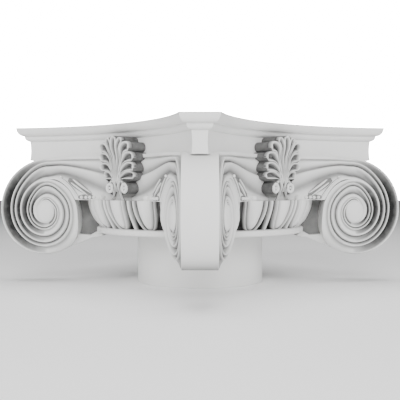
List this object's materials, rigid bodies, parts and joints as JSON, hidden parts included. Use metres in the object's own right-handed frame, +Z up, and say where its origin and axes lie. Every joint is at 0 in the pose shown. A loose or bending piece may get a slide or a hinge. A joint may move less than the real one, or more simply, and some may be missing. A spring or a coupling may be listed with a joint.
{
  "type": "ionic capital",
  "caption": "Angular Ionic column capital with diagonal corner volutes, egg-and-dart ring, leaf ornament on each side and a short round neck.",
  "frame": {"origin": "centre of the underside of the neck, which is the bottom centre of the box", "axes": "+Z up along the column's axis; the four sides with the leaf ornament face +X, -X, +Y and -Y, and the volutes stand on the diagonals"},
  "size_m": [0.5098, 0.5098, 0.2596],
  "materials": {
    "white_cast": "matt white primer over a smooth casting"
  },
  "bodies": {
    "root": {"capital": "white_cast"}
  },
  "joints": []
}
